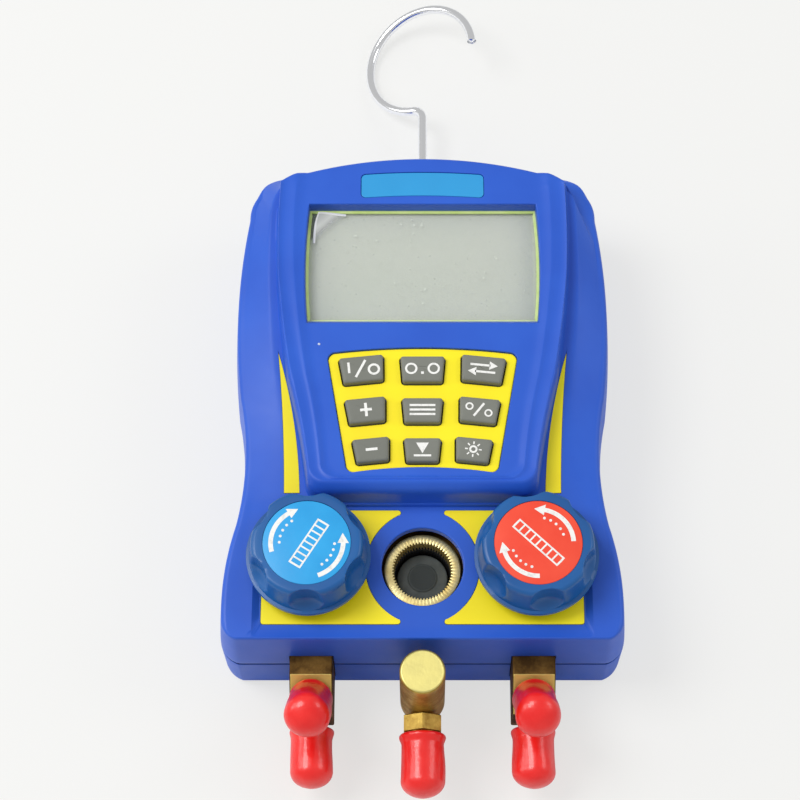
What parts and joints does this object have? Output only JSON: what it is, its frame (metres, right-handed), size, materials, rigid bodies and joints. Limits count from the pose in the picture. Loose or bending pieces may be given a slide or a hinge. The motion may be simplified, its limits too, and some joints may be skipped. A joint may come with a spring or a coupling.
{
  "type": "refrigerant manifold gauge",
  "caption": "Hand-held digital refrigerant manifold gauge: display and rubber keys in a waisted case, two valve knobs, sight glass, capped brass flare ports and a swivel hanging hook.",
  "frame": {"origin": "on the flat of the back cover, midway across, where the case lies on a bench", "axes": "+X to the right and +Y towards the hook as the display is read, +Z out of the display"},
  "size_m": [0.1212, 0.2782, 0.0552],
  "materials": {
    "body_blue": "satin moulded ABS",
    "battery_case": "printed steel can, bare",
    "black_plastic": "matt moulded",
    "screw_steel": "zinc plated",
    "display_clear": "clear window under a protective film",
    "light_guide": "tinted light guide",
    "display_grey": "unlit reflective display",
    "board_green": "solder mask",
    "badge_blue": "bare printed film",
    "yellow_plastic": "satin moulded inlay",
    "brass": "machined",
    "brass_aged": "browned brass",
    "sight_glass": "grey lens",
    "black_rubber": "nitrile",
    "hook_chrome": "plated spring wire",
    "key_rubber": "moulded silicone with white symbols",
    "cap_vinyl": "glossy dipped vinyl",
    "spindle_steel": "turned",
    "knob_blue": "satin moulded",
    "label_blue": "printed disc",
    "label_red": "printed disc",
    "sensor_steel": "turned stainless can"
  },
  "bodies": {
    "root": {"front_cover": "body_blue", "back_cover": "body_blue", "battery": "battery_case", "battery_clip": "black_plastic", "cover_screws": "screw_steel", "board_screws": "screw_steel", "display_window": "display_clear", "light_guide": "light_guide", "display_panel": "display_grey", "circuit_board": "board_green", "badge_plate": "badge_blue", "keypad_plate": "yellow_plastic", "left_deck_inlay": "yellow_plastic", "right_deck_inlay": "yellow_plastic", "side_stripes": "yellow_plastic", "manifold_block": "brass", "gallery_plugs": "brass", "sight_glass_ring": "brass", "sight_well": "black_plastic", "sight_glass_lens": "sight_glass", "sight_glass_seal": "black_rubber", "centre_plug_bar": "brass", "centre_hose_nipple": "brass", "hook_bush": "black_plastic", "left_bonnet": "brass", "left_port_block": "brass_aged", "left_angled_nipple": "brass", "left_hose_nipple": "brass", "left_pressure_sensor": "sensor_steel", "right_bonnet": "brass", "right_port_block": "brass_aged", "right_angled_nipple": "brass", "right_hose_nipple": "brass", "right_pressure_sensor": "sensor_steel"},
    "left_valve_seat": {"left_piston": "brass", "left_piston_ring": "black_rubber"},
    "left_valve_knob": {"left_spindle": "spindle_steel", "left_knob": "knob_blue", "left_knob_label": "label_blue"},
    "right_valve_seat": {"right_piston": "brass", "right_piston_ring": "black_rubber"},
    "right_valve_knob": {"right_spindle": "spindle_steel", "right_knob": "knob_blue", "right_knob_label": "label_red"},
    "key_left_high": {"key_left_high": "key_rubber"},
    "key_middle_high": {"key_middle_high": "key_rubber"},
    "key_right_high": {"key_right_high": "key_rubber"},
    "key_left_mid": {"key_left_mid": "key_rubber"},
    "key_middle_mid": {"key_middle_mid": "key_rubber"},
    "key_right_mid": {"key_right_mid": "key_rubber"},
    "key_left_low": {"key_left_low": "key_rubber"},
    "key_middle_low": {"key_middle_low": "key_rubber"},
    "key_right_low": {"key_right_low": "key_rubber"},
    "left_angled_cap": {"left_angled_cap": "cap_vinyl"},
    "left_hose_cap": {"left_hose_cap": "cap_vinyl"},
    "right_angled_cap": {"right_angled_cap": "cap_vinyl"},
    "right_hose_cap": {"right_hose_cap": "cap_vinyl"},
    "centre_hose_cap": {"centre_hose_cap": "cap_vinyl"},
    "hook": {"hook": "hook_chrome"},
    "battery_door": {"battery_door": "body_blue"}
  },
  "joints": [
    {"name": "left_valve_lift", "type": "slide", "parent": "root", "child": "left_valve_seat", "axis": [0, 0, 1], "range_m": [0, 0.002]},
    {"name": "left_valve_turn", "type": "hinge", "parent": "left_valve_seat", "child": "left_valve_knob", "pos_m": [-0.0335, -0.0562, 0.04], "axis": [0, 0, 1], "range_deg": [0, 722]},
    {"name": "right_valve_lift", "type": "slide", "parent": "root", "child": "right_valve_seat", "axis": [0, 0, 1], "range_m": [0, 0.002]},
    {"name": "right_valve_turn", "type": "hinge", "parent": "right_valve_seat", "child": "right_valve_knob", "pos_m": [0.0335, -0.0562, 0.04], "axis": [0, 0, 1], "range_deg": [0, 722]},
    {"name": "key_left_high_press", "type": "slide", "parent": "root", "child": "key_left_high", "axis": [0, 0, -1], "range_m": [0, 0.001], "stiffness_N_per_m": 1200},
    {"name": "key_middle_high_press", "type": "slide", "parent": "root", "child": "key_middle_high", "axis": [0, 0, -1], "range_m": [0, 0.001], "stiffness_N_per_m": 1200},
    {"name": "key_right_high_press", "type": "slide", "parent": "root", "child": "key_right_high", "axis": [0, 0, -1], "range_m": [0, 0.001], "stiffness_N_per_m": 1200},
    {"name": "key_left_mid_press", "type": "slide", "parent": "root", "child": "key_left_mid", "axis": [0, 0, -1], "range_m": [0, 0.001], "stiffness_N_per_m": 1200},
    {"name": "key_middle_mid_press", "type": "slide", "parent": "root", "child": "key_middle_mid", "axis": [0, 0, -1], "range_m": [0, 0.001], "stiffness_N_per_m": 1200},
    {"name": "key_right_mid_press", "type": "slide", "parent": "root", "child": "key_right_mid", "axis": [0, 0, -1], "range_m": [0, 0.001], "stiffness_N_per_m": 1200},
    {"name": "key_left_low_press", "type": "slide", "parent": "root", "child": "key_left_low", "axis": [0, 0, -1], "range_m": [0, 0.001], "stiffness_N_per_m": 1200},
    {"name": "key_middle_low_press", "type": "slide", "parent": "root", "child": "key_middle_low", "axis": [0, 0, -1], "range_m": [0, 0.001], "stiffness_N_per_m": 1200},
    {"name": "key_right_low_press", "type": "slide", "parent": "root", "child": "key_right_low", "axis": [0, 0, -1], "range_m": [0, 0.001], "stiffness_N_per_m": 1200},
    {"name": "left_angled_cap_off", "type": "slide", "parent": "root", "child": "left_angled_cap", "axis": [0, -0.5736, 0.8192], "range_m": [0, 0.045]},
    {"name": "left_hose_cap_off", "type": "slide", "parent": "root", "child": "left_hose_cap", "axis": [0, -1, 0], "range_m": [0, 0.045]},
    {"name": "right_angled_cap_off", "type": "slide", "parent": "root", "child": "right_angled_cap", "axis": [0, -0.5736, 0.8192], "range_m": [0, 0.045]},
    {"name": "right_hose_cap_off", "type": "slide", "parent": "root", "child": "right_hose_cap", "axis": [0, -1, 0], "range_m": [0, 0.045]},
    {"name": "centre_hose_cap_off", "type": "slide", "parent": "root", "child": "centre_hose_cap", "axis": [0, -1, 0], "range_m": [0, 0.045]},
    {"name": "hook_swivel", "type": "hinge", "parent": "root", "child": "hook", "pos_m": [0, 0.067, 0.0114], "axis": [0, 1, 0], "continuous": true},
    {"name": "battery_door_off", "type": "slide", "parent": "root", "child": "battery_door", "axis": [0, 0, -1], "range_m": [0, 0.025]}
  ],
  "couplings": [
    {"joint": "left_valve_turn", "follows": "left_valve_lift", "rad_per_m": 6283.2},
    {"joint": "right_valve_turn", "follows": "right_valve_lift", "rad_per_m": 6283.2}
  ]
}
